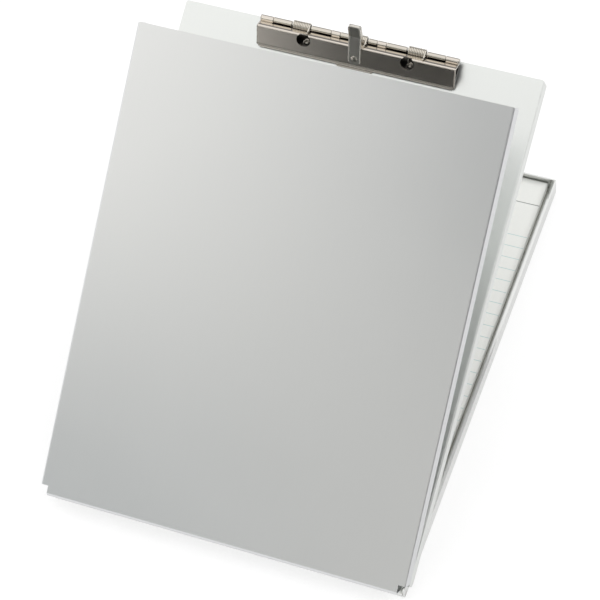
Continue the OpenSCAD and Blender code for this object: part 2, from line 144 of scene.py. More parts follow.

# zones of the clip, each fading between two distances below its pin or ahead of it, which
# is towards the hinge rod; the base under the jaw is painted nearly black as painted shade,
# and the rear by the pin is made brighter as a painted highlight and is polished
FOOT_BELOW = (4.2 * MM, 4.6 * MM)
FRONT_AHEAD = (16.95 * MM, 17.1 * MM)
COVERED_AHEAD = (14.8 * MM, 15.4 * MM)
REAR_AHEAD = (6.0 * MM, 6.6 * MM)
# painted shade under the jaw; painted highlight at the rear, which is also polished
SHADE_UNDER_JAW = 0.1
REAR_HIGHLIGHT = 1.3
REAR_ROUGH = 0.35

# floor: its own grey, and the white that it adds for the camera and for mirrors
FLOOR_REACH = 6.0
FLOOR_GREY = 0.5
FLOOR_SEEN = 0.57
FLOOR_MIRRORED = 0.37

# lamps: the point they face, and the place and width of each; the fill lamp reaches into
# the gap beside the pad
LAMP_AIM = (0.0, 0.0, 0.08)
KEY_LAMP = ((-1.6, -0.9, 1.6), 1.8)
FILL_LAMP = ((1.3, -0.5, 2.2), 0.9)

# upright cards that the metal mirrors, each by its two ends on the floor and its lowest and
# highest edge: behind the camera, low at the right front, and behind the box
SHADE_CARD = ((-1.5, -1.35), (1.6, -1.35), 0.3, 2.7)
EDGE_CARD = ((1.45, -1.3), (1.45, 0.0), 0.05, 1.1)
REAR_CARD = ((-1.5, 1.3), (1.2, 1.3), 0.0, 0.9)

# how the shade card's grey changes: each row has two heights, and what is added at each;
# the swing and the rise only count on the left, which ends between two places across
CARD_FALL = (1.42, 1.75, 0.0, -0.54)
CARD_SWING = (1.0, 1.3, -0.30, 0.60)
CARD_RISE = (1.45, 1.75, 0.0, 0.62)
CARD_LEFT = (-0.9, -0.2, 1.0, 0.0)
# its tint turns from cool to warm between two greys
CARD_WARMTH = (0.50, 0.64, 0.0, 1.0)
CARD_COOL = (0.945, 1.0, 1.005)
CARD_WARM = (1.01, 1.0, 0.955)

# camera: the sensor's width in millimetres, and the nearest and farthest that it sees
SENSOR_WIDTH = 36.0
CAMERA_NEAR, CAMERA_FAR = 0.05, 50.0


def tone(red, green, blue):
    """A linear colour from display values between 0 and 255, by the usual display curve."""
    display = np.array([red, green, blue]) / 255
    linear = np.where(display <= 0.04045, display / 12.92, ((display + 0.055) / 1.055) ** 2.4)
    return tuple(float(value) for value in linear)


# ---------- sizes and colours that a user would change ----------

# one kind of setting each, with the subtype and the unit of its kind

def colour_property(name, description, default):
    return bpy.props.FloatVectorProperty(
        name=name, description=description, default=default, subtype="COLOR", size=3,
        min=0.0, max=1.0)


def length_property(name, description, default):
    return bpy.props.FloatProperty(
        name=name, description=description, default=default, subtype="DISTANCE",
        unit="LENGTH", precision=5)


def angle_property(name, description, degrees):
    return bpy.props.FloatProperty(
        name=name, description=description, default=math.radians(degrees), subtype="ANGLE",
        unit="ROTATION")


def power_property(name, description, default):
    return bpy.props.FloatProperty(
        name=name, description=description, default=default, min=0, unit="POWER")


def number_property(name, description, default, **limits):
    return bpy.props.FloatProperty(
        name=name, description=description, default=default, **limits)


def count_property(name, description, default, least, most):
    return bpy.props.IntProperty(
        name=name, description=description, default=default, min=least, max=most)


class ClipboardMetals(bpy.types.PropertyGroup):
    """Colours and edge widths of the metal pieces"""
    cover: colour_property("Cover", "Satin aluminium of the cover", tone(229, 230, 231))
    plate: colour_property("Plate", "Satin aluminium of the writing plate", tone(240, 242, 239))
    tray: colour_property("Tray", "Satin aluminium of the tray", tone(238, 239, 237))
    clip: colour_property("Clip", "Nickel plate of the jaw", tone(203, 196, 187))
    lever: colour_property("Lever", "Nickel plate of the lever", tone(222, 218, 210))
    base: colour_property("Base", "Nickel plate of the clip's base and rivets",
                          tone(196, 190, 180))
    wire: colour_property("Wire", "Nickel plate of the springs", tone(228, 222, 211))
    rod: colour_property("Rod", "Bright steel of the rod and the clip's pin",
                         tone(200, 198, 194))
    ease: length_property("Edge ease", "Width of the eased edges of the panels and the "
                          "small pieces", 0.12 * MM)
    clip_ease: length_property("Clip edge ease", "Width of the eased edges of the jaw",
                               0.22 * MM)
    lever_ease: length_property("Lever edge ease", "Width of the eased edges of the lever",
                                0.35 * MM)


class ClipboardSprings(bpy.types.PropertyGroup):
    """Sizes of the wound springs"""
    wire_d: length_property("Wire diameter", "Diameter of the spring wire", 1.0 * MM)
    coil_d: length_property("Coil diameter", "Diameter of a coil at mid-wire", 5.2 * MM)
    turns: count_property("Turns", "Turns of each coil", 11, least=6, most=14)


class ClipboardForms(bpy.types.PropertyGroup):
    """Colours, ruled lines and loose edges of the pad"""
    paper: colour_property("Paper", "White paper of the forms", tone(243, 244, 240))
    rule: colour_property("Rules", "Ink of the ruled lines", tone(172, 205, 205))
    header: colour_property("Header line", "Ink of the header line", tone(120, 122, 120))
    board: colour_property("Board", "Chipboard of the pad's back", tone(158, 148, 132))
    header_y: length_property("Header line place",
                              "From the form's top edge to the header line", 20.2 * MM)
    rules_y: length_property("First rule place",
                             "From the form's top edge to the first ruled line", 48.0 * MM)
    rule_pitch: length_property("Rule pitch", "From one ruled line to the next", 9.42 * MM)
    layers: count_property("Layers", "Steps shown in the block's edges", 30, least=4,
                           most=60)
    loose: length_property("Looseness", "How far a layer may lie back from the edge",
                           0.16 * MM)
    curl: length_property("Curl", "How far the top form's corners rise", 0.5 * MM)


class ClipboardStudio(bpy.types.PropertyGroup):
    """Camera, lamps and cards"""
    place: bpy.props.FloatVectorProperty(
        name="Camera place", description="Where the camera stands", size=3,
        subtype="TRANSLATION", unit="LENGTH", default=(0.37904, -0.78319, 1.28768))
    yaw: angle_property("Camera yaw", "Turn of the camera about the vertical", 24.418)
    tilt: angle_property("Camera tilt", "Tilt of the camera up from straight down", 35.843)
    roll: angle_property("Camera roll", "Roll of the camera about its own axis", -6.119)
    lens: number_property("Lens", "Focal length in millimetres for a sensor 36 mm wide",
                          141.02, min=20, max=300)
    shift_x: number_property("Shift across", "Sideways shift of the frame", -0.0667)
    shift_y: number_property("Shift up", "Upward shift of the frame", -0.0633)
    key: power_property("Key light", "Power of the large soft lamp", 5.5)
    fill: power_property("Fill light", "Power of the second lamp", 8.0)
    sky: number_property("Sky", "Strength of the even light from all around", 0.95, min=0)
    card: number_property("Shade card", "Grey of the card that the sheet metal reflects",
                          0.64, min=0, max=1)
    edge_card: number_property("Edge card", "Grey of the card that the cover's bend reflects",
                               0.04, min=0, max=1)
    rear_card: number_property("Rear card", "Grey of the card that the clip's rear reflects",
                               0.25, min=0, max=1)


# ---------- places in the model, and new objects ----------

def half_width(node):
    """Half the width of a CAD node along x."""
    low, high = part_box(node)
    return float(high[0] - low[0]) / 2


def pin_point():
    """The x, y and z of a point on the axis of the clip's pin."""
    return next(joint["pos_m"] for joint in frame["joints"]
                if joint["name"] == "clip_jaw_hinge")


def link_object(name, data):
    """An object at the origin that holds a mesh, a lamp or a camera."""
    linked = bpy.data.objects.new(name, data)
    bpy.context.scene.collection.objects.link(linked)
    return linked


def mesh_piece(name, points, faces, smooth=True):
    """A mesh object at the origin from an array of points and a list of rows of corners."""
    mesh = bpy.data.meshes.new(name)
    mesh.from_pydata(points.tolist(), [], [face.tolist() for face in faces])
    mesh.update()
    mesh.polygons.foreach_set("use_smooth", np.full(len(mesh.polygons), smooth))
    return link_object(name, mesh)


def settle(piece, body, slot, material, *nodes):
    """A finished piece rides on its body, takes its material, and stands for its CAD nodes,
    which are hidden. Its slot is not used."""
    piece.data.materials.clear()
    piece.data.materials.append(material)
    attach(piece, body)
    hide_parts(*nodes)


# ---------- numpy surfaces ----------

def grid_faces(rows, columns, wrap):
    """Quads between neighbouring rows and columns of a grid; wrap joins the last column to
    the first."""
    r = np.arange(rows - 1)[:, None]
    c = np.arange(columns if wrap else columns - 1)[None, :]
    d = (c + 1) % columns
    quads = np.stack([r * columns + c, r * columns + d, (r + 1) * columns + d,
                      (r + 1) * columns + c], axis=-1)
    return quads.reshape(-1, 4)


def unit_rows(vectors):
    """Each row divided by its own length."""
    return vectors / np.linalg.norm(vectors, axis=1, keepdims=True)


def wire_surface(line, radius, sides):
    """A round wire along a line of points that never runs along x. Around point p with
    tangent t the surface is p + r (cos a u + sin a v), where u is the unit vector of x
    crossed with t, and v is t crossed with u. Both ends are rounded: rings of radius
    r cos b, set out by r sin b, and a point at the tip."""
    tangent = unit_rows(np.gradient(line, axis=0))
    u = unit_rows(np.cross([1.0, 0.0, 0.0], tangent))
    v = np.cross(tangent, u)
    inwards, outwards, steps = TIP_RINGS[::-1], TIP_RINGS, len(TIP_RINGS)
    start = line[0] - np.outer(np.sin(inwards), tangent[0]) * radius
    end = line[-1] + np.outer(np.sin(outwards), tangent[-1]) * radius
    centres = np.vstack([start, line, end])
    ring_r = radius * np.concatenate([np.cos(inwards), np.ones(len(line)), np.cos(outwards)])
    u = np.vstack([np.repeat(u[:1], steps, 0), u, np.repeat(u[-1:], steps, 0)])
    v = np.vstack([np.repeat(v[:1], steps, 0), v, np.repeat(v[-1:], steps, 0)])
    angle = np.arange(sides) * 2 * np.pi / sides
    ring = np.cos(angle)[:, None] * u[:, None, :] + np.sin(angle)[:, None] * v[:, None, :]
    points = (centres[:, None, :] + ring_r[:, None, None] * ring).reshape(-1, 3)
    tips = np.array([line[0] - tangent[0] * radius, line[-1] + tangent[-1] * radius])
    last = len(points) - sides
    k = np.arange(sides)
    step = (k + 1) % sides
    first_cap = np.stack([step, k, np.full(sides, len(points))], axis=1)
    last_cap = np.stack([last + k, last + step, np.full(sides, len(points) + 1)], axis=1)
    faces = [*grid_faces(len(centres), sides, True), *first_cap, *last_cap]
    return np.vstack([points, tips]), faces


def bezier(a, b, c, d, count):
    """Points of a cubic curve from a to d: (1-t)^3 a + 3(1-t)^2 t b + 3(1-t) t^2 c + t^3 d."""
    t = np.linspace(0, 1, count)[:, None]
    s = 1 - t
    return s ** 3 * a + 3 * s ** 2 * t * b + 3 * s * t ** 2 * c + t ** 3 * d


def spring_line(half, coil_r, wire_r, turns):
    """Centre line of a torsion spring along x round the pin: a foot that bears on the base,
    a helix (x rising evenly, y = r cos a, z = r sin a) and an arm that lies on the jaw. The
    last turn is half a turn, so that the foot leaves from below and the arm from above."""
    steps = TURN_POINTS * turns
    angle = np.radians(-90) + 2 * np.pi * (turns - 0.5) * np.linspace(0, 1, steps)
    x = np.linspace(-half + wire_r, half - wire_r, steps)
    coil = np.stack([x, coil_r * np.cos(angle), coil_r * np.sin(angle)], axis=1)
    left, right = coil[0], coil[-1]
    foot = bezier(*(left + FOOT_BENDS), left, LEG_POINTS)[:-1]
    arm = bezier(right, *(right + ARM_BENDS), LEG_POINTS)[1:]
    return np.vstack([foot, coil, arm])


def slab_outline(low, high, inset):
    """A rectangle's outline, drawn in by an inset for each point. While (u, v) runs round
    the square from -1 to 1, a point is the middle plus (u, v) times (half the size minus the
    inset)."""
    run = 2 * np.arange(SIDE_POINTS) / SIDE_POINTS - 1
    end = np.ones(SIDE_POINTS)
    u = np.concatenate([run, end, -run, -end])
    v = np.concatenate([-end, run, end, -run])
    middle, half = (low + high) / 2, (high - low) / 2
    return np.stack([middle[0] + u * (half[0] - inset),
                     middle[1] + v * (half[1] - inset)], axis=-1)


def block_surface(low, high, layers, loose, rng):
    """A block of loose sheets: each layer is the same rectangle, lying back from the block's
    edge by its own amount plus a slow wave along the edge, with a small step from one layer
    to the next. The lowest and the highest outline are closed by one face each."""
    columns = 4 * SIDE_POINTS
    along = np.arange(columns) * 2 * np.pi / columns
    back = rng.uniform(0.0, LAYER_BACK, layers)
    phase = rng.uniform(0, 2 * np.pi, layers)
    wave = EDGE_WAVE * (1 + np.sin(WAVES_ROUND * along[None, :] + phase[:, None]))
    inset = loose * (back[:, None] + wave)
    inset[-1] = TOP_BACK * loose
    z = np.linspace(low[2], high[2], layers + 1)
    rows = [np.column_stack([slab_outline(low, high, inset[layer]), np.full(columns, height)])
            for layer in range(layers) for height in (z[layer], z[layer + 1])]
    floor = np.arange(columns)[::-1]
    roof = np.arange(columns) + (len(rows) - 1) * columns
    return np.vstack(rows), [*grid_faces(len(rows), columns, True), floor, roof]


def form_surface(low, high, curl):
    """The top form as a thin closed sheet. At (u, v) in 0..1 its top is the block's top plus
    curl times (2u-1)^6 v^8 + (2u-1)^6 (1-v)^8, so that only its corners rise; its underside
    follows one sheet's thickness below, and a strip joins the two along the edge."""
    columns, rows = FORM_COLUMNS, FORM_ROWS
    v, u = np.meshgrid(np.linspace(0, 1, rows), np.linspace(0, 1, columns), indexing="ij")
    rise = curl * (2 * u - 1) ** CURL_ACROSS * (v ** CURL_ALONG + (1 - v) ** CURL_ALONG)
    x = low[0] + (high[0] - low[0]) * u
    y = low[1] + (high[1] - low[1]) * v
    top = np.stack([x, y, high[2] + rise], axis=-1).reshape(-1, 3)
    under = np.stack([x, y, low[2] + rise], axis=-1).reshape(-1, 3)
    index = np.arange(rows * columns).reshape(rows, columns)
    rim = np.concatenate([index[0, :-1], index[:-1, -1], index[-1, :0:-1], index[:0:-1, 0]])
    after = np.roll(rim, -1)
    size = rows * columns
    strip = np.stack([rim + size, after + size, after, rim], axis=1)
    faces = grid_faces(rows, columns, False)
    return np.vstack([top, under]), [*faces, *(faces[:, ::-1] + size), *strip]


def eased_copy(node, ease):
    """A copy of a CAD node's mesh with its points merged, flat facets joined and sharp edges
    eased by a narrow bevel. Curved runs are shaded smooth."""
    name = node + "_eased"
    mesh = bpy.data.meshes.new(name)
    work = bmesh.new()
    work.from_mesh(frame["nodes"][node].data)
    bmesh.ops.remove_doubles(work, verts=work.verts, dist=MERGE_GAP)
    bmesh.ops.dissolve_limit(work, angle_limit=FLAT_ANGLE, verts=work.verts, edges=work.edges)
    work.to_mesh(mesh)
    work.free()
    mesh.shade_smooth()
    mesh.set_sharp_from_angle(angle=SHARP_ANGLE)
    piece = link_object(name, mesh)
    bevel = piece.modifiers.new("eased_edges", "BEVEL")
    bevel.width = ease
    bevel.segments = EASE_STEPS
    bevel.limit_method = "ANGLE"
    bevel.angle_limit = SHARP_ANGLE
    bevel.use_clamp_overlap = True
    true_faces = piece.modifiers.new("true_faces", "WEIGHTED_NORMAL")
    true_faces.mode = "FACE_AREA"
    true_faces.weight = FLAT_FACE_WEIGHT
    true_faces.keep_sharp = True
    return piece


# ---------- node helpers ----------

def set_inputs(tree, node, values):
    """Values or links for a node's inputs."""
    for key, value in values.items():
        if isinstance(value, bpy.types.NodeSocket):
            tree.links.new(value, node.inputs[key])
        else:
            node.inputs[key].default_value = value


def add_node(tree, kind, values=None, **settings):
    """A node in a tree, with settings and with values or links for its inputs."""
    node = tree.nodes.new(kind)
    for key, value in settings.items():
        setattr(node, key, value)
    set_inputs(tree, node, values or {})
    return node


def calc(tree, operation, *values):
    """The result of a Math node for numbers or sockets."""
    node = add_node(tree, "ShaderNodeMath", dict(enumerate(values)), operation=operation)
    return node.outputs[0]


def ramp(tree, value, low, high, at_low, at_high):
    """A value that runs evenly from at_low to at_high while its input runs from low to high,
    and is level beyond them."""
    node = add_node(tree, "ShaderNodeMapRange", {
        "Value": value, "From Min": low, "From Max": high, "To Min": at_low,
        "To Max": at_high})
    return node.outputs[0]


def rescale(tree, value, low, high):
    """A value between 0 and 1 carried to the range from low to high."""
    return ramp(tree, value, 0.0, 1.0, low, high)


def blend_colours(tree, factor, first, second):
    """The colour between two colours, the second where the factor is 1. The Mix node has
    several sockets of one name, so its own go by number: 0 is the factor, 6 and 7 are the
    colours, and 2 is the result."""
    colours = {key: colour if isinstance(colour, bpy.types.NodeSocket) else (*colour, 1.0)
               for key, colour in ((6, first), (7, second))}
    return add_node(tree, "ShaderNodeMix", {0: factor, **colours},
                    data_type="RGBA").outputs[2]


def scaled(colour, factor):
    """A colour made lighter or darker, up to white."""
    return tuple(min(1.0, channel * factor) for channel in colour)


def mottled(tree, factor, colour, darkest, lightest):
    """A colour that varies between a darker and a lighter part of itself."""
    return blend_colours(tree, factor, scaled(colour, darkest), scaled(colour, lightest))


def texture_place(tree, output="Object"):
    """A texture coordinate: Object, the place on a piece, or Normal, the way it faces."""
    return add_node(tree, "ShaderNodeTexCoord").outputs[output]


def levelled(tree, slope=0.0, turn=0.0, output="Object"):
    """A texture coordinate turned back by a panel's slope, and about its own normal."""
    return add_node(tree, "ShaderNodeMapping", {
        "Vector": texture_place(tree, output), "Rotation": (-slope, 0.0, turn)}).outputs[0]


def axes_of(tree, vector):
    """The x, y and z of a vector, as sockets X, Y and Z."""
    return add_node(tree, "ShaderNodeSeparateXYZ", {"Vector": vector}).outputs


def bump(tree, height, strength, depth, over=None):
    """The normal of a surface raised by a height that runs from 0 to 1, and where it is
    given, raised over another such normal."""
    node = add_node(tree, "ShaderNodeBump", {
        "Height": height, "Strength": strength, "Distance": depth})
    if over is not None:
        tree.links.new(over, node.inputs["Normal"])
    return node.outputs[0]


def seen_and_mirrored(tree):
    """1 for what the camera sees straight, and 1 for what is seen in a mirror or through
    glass."""
    path = add_node(tree, "ShaderNodeLightPath").outputs
    return path["Is Camera Ray"], calc(tree, "MAXIMUM", path["Is Glossy Ray"],
                                       path["Is Transmission Ray"])


def new_finish(name):
    """A material with a Principled shader; returns the material, its tree and the shader."""
    material = bpy.data.materials.new(name)
    material.use_nodes = True
    tree = material.node_tree
    return material, tree, tree.nodes["Principled BSDF"]


# ---------- shared effects ----------

def add_sockets(group, in_out, names):
    """Named sockets for a group: Vector is a vector, and all others are plain values."""
    for name in names:
        kind = "NodeSocketVector" if name == "Vector" else "NodeSocketFloat"
        group.interface.new_socket(name=name, in_out=in_out, socket_type=kind)


def placed(tree, effect, values):
    """The outputs of a shared effect placed in a tree, with values or links for its inputs.
    The effect is a node group, which the function of its name fills on its first use: it is
    given the group's inputs, and returns what each output shows."""
    name = effect.__name__
    if name not in bpy.data.node_groups:
        group = bpy.data.node_groups.new(name, "ShaderNodeTree")
        add_sockets(group, "INPUT", values)
        shown = effect(group, group.nodes.new("NodeGroupInput").outputs)
        add_sockets(group, "OUTPUT", shown)
        set_inputs(group, group.nodes.new("NodeGroupOutput"), shown)
    return add_node(tree, "ShaderNodeGroup", values,
                    node_tree=bpy.data.node_groups[name]).outputs


def sheet_grain(tree, given):
    """Rolling grain of sheet metal: fine streaks along y, and slow clouds of tone."""
    squeezed = add_node(tree, "ShaderNodeMapping",
                        {"Vector": given["Vector"], "Scale": (1.0, 0.03, 1.0)})
    fine = add_node(tree, "ShaderNodeTexNoise", {
        "Vector": squeezed.outputs[0], "Scale": given["Fineness"], "Detail": 4.0,
        "Roughness": 0.6})
    cloud = add_node(tree, "ShaderNodeTexNoise", {
        "Vector": given["Vector"], "Scale": given["Cloud Scale"], "Detail": 2.0,
        "Roughness": 0.45})
    return {"Grain": fine.outputs[0], "Cloud": cloud.outputs[0]}


def fine_speckle(tree, given):
    """Fine even grain without a direction, as on paper, board and plated wire."""
    fine = add_node(tree, "ShaderNodeTexNoise", {
        "Vector": given["Vector"], "Scale": given["Fineness"], "Detail": 5.0,
        "Roughness": 0.7})
    return {"Speckle": fine.outputs[0]}


def downward_sides(tree, given):
    """1 where a normal that is levelled with the panel faces down, and 0 elsewhere."""
    facing = axes_of(tree, given["Vector"])["Z"]
    return {"Mask": ramp(tree, facing, *FACING_DOWN, 1.0, 0.0)}


def rolled_ends(tree, given):
    """Height of a sheet that is rolled off at both ends along x, End away from the middle."""
    across = calc(tree, "ABSOLUTE", axes_of(tree, given["Vector"])["X"])
    from_end = calc(tree, "SUBTRACT", given["End"], across)
    return {"Height": ramp(tree, from_end, 0.0, END_ROLL, 0.0, 1.0)}


def clip_zones(tree, given):
    """Masks of the clip's zones, for a place levelled with the plate: the foot low on the
    plate, the foot's front edge, the part of it that the jaw covers, and above the foot the
    rear by the pin. They carry the clip's painted shade and painted highlight."""
    _, pin_y, pin_z = pin_point()
    pin_along = math.cos(PLATE_SLOPE) * pin_y + math.sin(PLATE_SLOPE) * pin_z
    pin_out = math.cos(PLATE_SLOPE) * pin_z - math.sin(PLATE_SLOPE) * pin_y
    axes = axes_of(tree, given["Vector"])
    below = calc(tree, "SUBTRACT", pin_out, axes["Z"])
    ahead = calc(tree, "SUBTRACT", pin_along, axes["Y"])
    foot = ramp(tree, below, *FOOT_BELOW, 0.0, 1.0)
    front = ramp(tree, ahead, *FRONT_AHEAD, 0.0, 1.0)
    covered = ramp(tree, ahead, *COVERED_AHEAD, 1.0, 0.0)
    rear = ramp(tree, ahead, *REAR_AHEAD, 1.0, 0.0)
    return {"Foot": foot,
            "Front": calc(tree, "MULTIPLY", foot, front),
            "Covered": calc(tree, "MULTIPLY", foot, covered),
            "Rear": calc(tree, "MULTIPLY", rear, calc(tree, "SUBTRACT", 1.0, foot))}


# ---------- finishes ----------

def sheet_metal(name, colour, slope, turn=0.0, *, rough, spread, contrast, fineness, relief,
                painted_downward_tone=1.0, painted_foot_tones=None, end_x=None):
    """Rolled sheet with a satin surface: streaks of grain vary its tone and roughness. On the
    sides that face down to the panel below the tone is multiplied by a painted factor, painted
    light on the panels and painted shade on the jaw. On the clip the two foot tones paint shade
    on its foot, and on the foot's front edge a painted highlight on the jaw and painted shade on
    the base; the base under the jaw gets painted shade, and the rear by the pin a painted
    highlight. Two ends along x, at end_x from the middle, can be rolled off, and then catch a
    line of light."""
    material, tree, shader = new_finish(name)
    grain = placed(tree, sheet_grain, {
        "Vector": levelled(tree, slope, turn), "Fineness": fineness,
        "Cloud Scale": CLOUD_SCALE})
    mixed = calc(tree, "MULTIPLY", calc(tree, "ADD", grain["Grain"], grain["Cloud"]), 0.5)
    toned = mottled(tree, mixed, colour, 1 - contrast, 1 + contrast)
    roughness = rescale(tree, mixed, rough - spread, rough + spread)
    normal = bump(tree, grain["Grain"], relief, GRAIN_DEPTH)
    if painted_foot_tones is not None:
        zones = placed(tree, clip_zones, {"Vector": levelled(tree, slope)})
        foot_shade, front_light_and_shade = painted_foot_tones
        # painted shade on the foot, and on the foot's front edge a painted highlight on the jaw
        # and painted shade on the base; painted shade under the jaw and a painted highlight at
        # the rear
        for zone, factor in (("Foot", foot_shade), ("Front", front_light_and_shade),
                             ("Covered", SHADE_UNDER_JAW), ("Rear", REAR_HIGHLIGHT)):
            toned = blend_colours(tree, zones[zone], toned, scaled(colour, factor))
        roughness = calc(tree, "MULTIPLY", roughness,
                         rescale(tree, zones["Rear"], 1.0, REAR_ROUGH))
    # painted light on the panels and painted shade on the jaw, on the sides that face down to
    # the panel below
    if painted_downward_tone != 1:
        down = placed(tree, downward_sides, {
            "Vector": levelled(tree, slope, output="Normal")})["Mask"]
        toned = blend_colours(tree, down, toned, scaled(colour, painted_downward_tone))
    if end_x is not None:
        height = placed(tree, rolled_ends, {
            "Vector": texture_place(tree), "End": end_x})["Height"]
        normal = bump(tree, height, strength=1.0, depth=END_ROLL, over=normal)
    set_inputs(tree, shader, {"Base Color": toned, "Roughness": roughness, "Metallic": 1.0,
                              "Normal": normal})
    return material


def speckled(name, colour, fineness, tones, roughness, relief, depth, metallic=0.0):
    """A surface with fine speckle in its tone, its roughness and its relief. Tones are the
    darkest and the lightest part of the colour, and roughness has two ends likewise."""
    material, tree, shader = new_finish(name)
    speckle = placed(tree, fine_speckle, {
        "Vector": texture_place(tree), "Fineness": fineness})["Speckle"]
    set_inputs(tree, shader, {
        "Base Color": mottled(tree, speckle, colour, *tones),
        "Roughness": rescale(tree, speckle, *roughness),
        "Metallic": metallic,
        "Normal": bump(tree, speckle, relief, depth)})
    return material


def plated_stock(name, colour, rough):
    """Plated or bright round stock, nearly even in tone."""
    return speckled(name, colour, fineness=1800.0, tones=(0.9, 1.08),
                    roughness=(rough - 0.06, rough + 0.08), relief=0.05, depth=0.02 * MM,
                    metallic=1.0)


def chipboard(name, colour):
    """Grey chipboard: flecks of fibre in its tone, and a rough surface."""
    return speckled(name, colour, fineness=700.0, tones=(0.78, 1.15),
                    roughness=(0.75, 0.92), relief=0.3, depth=0.05 * MM)


def gum(name, colour):
    """Dried padding gum: a milky skin with a soft shine."""
    return speckled(name, colour, fineness=350.0, tones=(0.9, 1.0), roughness=(0.3, 0.5),
                    relief=0.3, depth=0.1 * MM)


def line_mask(tree, distance, thickness):
    """1 where the distance from a line's middle is under about half its thickness, and 0
    beyond, with a soft edge."""
    full, gone = (thickness * share for share in LINE_SHARES)
    return ramp(tree, distance, full, gone, 1.0, 0.0)


def ruled_paper(name, forms, top_y, low_y):
    """Paper of the top form, ruled from its top edge down: one dark header line, then pale
    lines at an even pitch."""
    material, tree, shader = new_finish(name)
    place = texture_place(tree)
    down = calc(tree, "SUBTRACT", top_y, axes_of(tree, place)["Y"])
    from_header = calc(tree, "ABSOLUTE", calc(tree, "SUBTRACT", down, forms.header_y))
    step = calc(tree, "SUBTRACT", down, forms.rules_y)
    from_rule = calc(tree, "PINGPONG", step, forms.rule_pitch / 2)
    within = calc(tree, "MULTIPLY",
                  calc(tree, "GREATER_THAN", step, -forms.rule_pitch / 4),
                  calc(tree, "LESS_THAN", down, top_y - low_y - BLANK_FOOT))
    ruled = calc(tree, "MULTIPLY", line_mask(tree, from_rule, RULE_WIDTH), within)
    speckle = placed(tree, fine_speckle, {"Vector": place, "Fineness": 900.0})["Speckle"]
    paper = mottled(tree, speckle, forms.paper, darkest=0.97, lightest=1.02)
    inked = blend_colours(tree, calc(tree, "MULTIPLY", ruled, RULE_INK), paper, forms.rule)
    header = line_mask(tree, from_header, HEADER_WIDTH)
    set_inputs(tree, shader, {
        "Base Color": blend_colours(tree, header, inked, forms.header),
        "Roughness": rescale(tree, speckle, 0.66, 0.8),
        "Normal": bump(tree, speckle, strength=0.12, depth=0.02 * MM)})
    return material


def page_edges(name, forms):
    """Cut edges of the block: thin bands along z, one for each few sheets."""
    material, tree, shader = new_finish(name)
    layered = add_node(tree, "ShaderNodeMapping",
                       {"Vector": texture_place(tree), "Scale": (0.01, 0.01, 1.0)})
    bands = add_node(tree, "ShaderNodeTexNoise", {
        "Vector": layered.outputs[0], "Scale": 1 / PAGE_BAND, "Detail": 3.0,
        "Roughness": 0.8}).outputs[0]
    contrasted = rescale(tree, bands, low=-0.6, high=1.6)
    set_inputs(tree, shader, {
        "Base Color": mottled(tree, contrasted, forms.paper, darkest=0.95, lightest=1.06),
        "Roughness": 0.8,
        "Normal": bump(tree, bands, strength=0.15, depth=0.05 * MM)})
    return material


def floor_finish(name):
    """Pale floor that reads white to the camera and in reflections, and keeps the shadow."""
    material, tree, shader = new_finish(name)
    seen, mirrored = seen_and_mirrored(tree)
    glow = calc(tree, "ADD", calc(tree, "MULTIPLY", seen, FLOOR_SEEN),
                calc(tree, "MULTIPLY", mirrored, FLOOR_MIRRORED))
    set_inputs(tree, shader, {
        "Base Color": (FLOOR_GREY, FLOOR_GREY, FLOOR_GREY, 1.0), "Roughness": 0.9,
        "Specular IOR Level": 0.0, "Emission Color": WHITE, "Emission Strength": glow})
    return material


def graded_grey(tree, grey):
    """The colour of the card that the cover mirrors: cool and even below, warm and light on
    the upper left, and darkest on the upper right."""
    axes = axes_of(tree, texture_place(tree))
    fall = ramp(tree, axes["Z"], *CARD_FALL)
    swing = calc(tree, "ADD", ramp(tree, axes["Z"], *CARD_SWING),
                 ramp(tree, axes["Z"], *CARD_RISE))
    on_left = calc(tree, "MULTIPLY", swing, ramp(tree, axes["X"], *CARD_LEFT))
    value = calc(tree, "ADD", calc(tree, "ADD", grey, fall), on_left)
    tint = blend_colours(tree, ramp(tree, value, *CARD_WARMTH), CARD_COOL, CARD_WARM)
    return add_node(tree, "ShaderNodeVectorMath", {0: tint, "Scale": value},
                    operation="SCALE").outputs[0]


# ---------- studio ----------

def studio_floor():
    """A square floor under the box."""
    corners = FLOOR_REACH * np.array([[-1.0, -1.0, 0.0], [1.0, -1.0, 0.0], [1.0, 1.0, 0.0],
                                      [-1.0, 1.0, 0.0]])
    floor = mesh_piece("studio_floor", corners, [np.arange(len(corners))], smooth=False)
    floor.data.materials.append(floor_finish("pale_floor"))


def soft_lamp(name, place, width, power):
    """A large square lamp that faces the box. Bright metal mirrors the white surroundings
    and not the lamp, so that it never clips."""
    lamp = bpy.data.lights.new(name, "AREA")
    lamp.shape = "SQUARE"
    lamp.size = width
    lamp.energy = power
    stand = link_object(name, lamp)
    facing = (Vector(LAMP_AIM) - Vector(place)).to_track_quat("-Z", "Y")
    stand.matrix_world = Matrix.LocRotScale(Vector(place), facing, None)
    stand.visible_glossy = False


def grey_card(name, place, grey, graded=False):
    """A grey card that only shows in reflections, as a studio uses to shade bright metal. Its
    place is its two ends on the floor and its lowest and highest edge."""
    start, end, low, high = place
    corners = np.array([(*start, low), (*end, low), (*end, high), (*start, high)])
    card = mesh_piece(name, corners, [np.arange(len(corners))], smooth=False)
    material = bpy.data.materials.new(name)
    material.use_nodes = True
    tree = material.node_tree
    tree.nodes.clear()
    colour = graded_grey(tree, grey) if graded else (grey, grey, grey, 1.0)
    glow = add_node(tree, "ShaderNodeEmission", {"Color": colour})
    add_node(tree, "ShaderNodeOutputMaterial", {"Surface": glow.outputs[0]})
    card.data.materials.append(material)
    card.visible_camera = False
    card.visible_diffuse = False
    card.visible_shadow = False


def white_world(sky):
    """Surroundings that are white to the camera and in reflections, and light the box evenly
    with the strength of the sky."""
    world = bpy.data.worlds.new("white_surroundings")
    world.use_nodes = True
    tree = world.node_tree
    white = calc(tree, "MAXIMUM", *seen_and_mirrored(tree))
    set_inputs(tree, tree.nodes["Background"], {
        "Color": WHITE, "Strength": rescale(tree, white, sky, 1.0)})
    return world


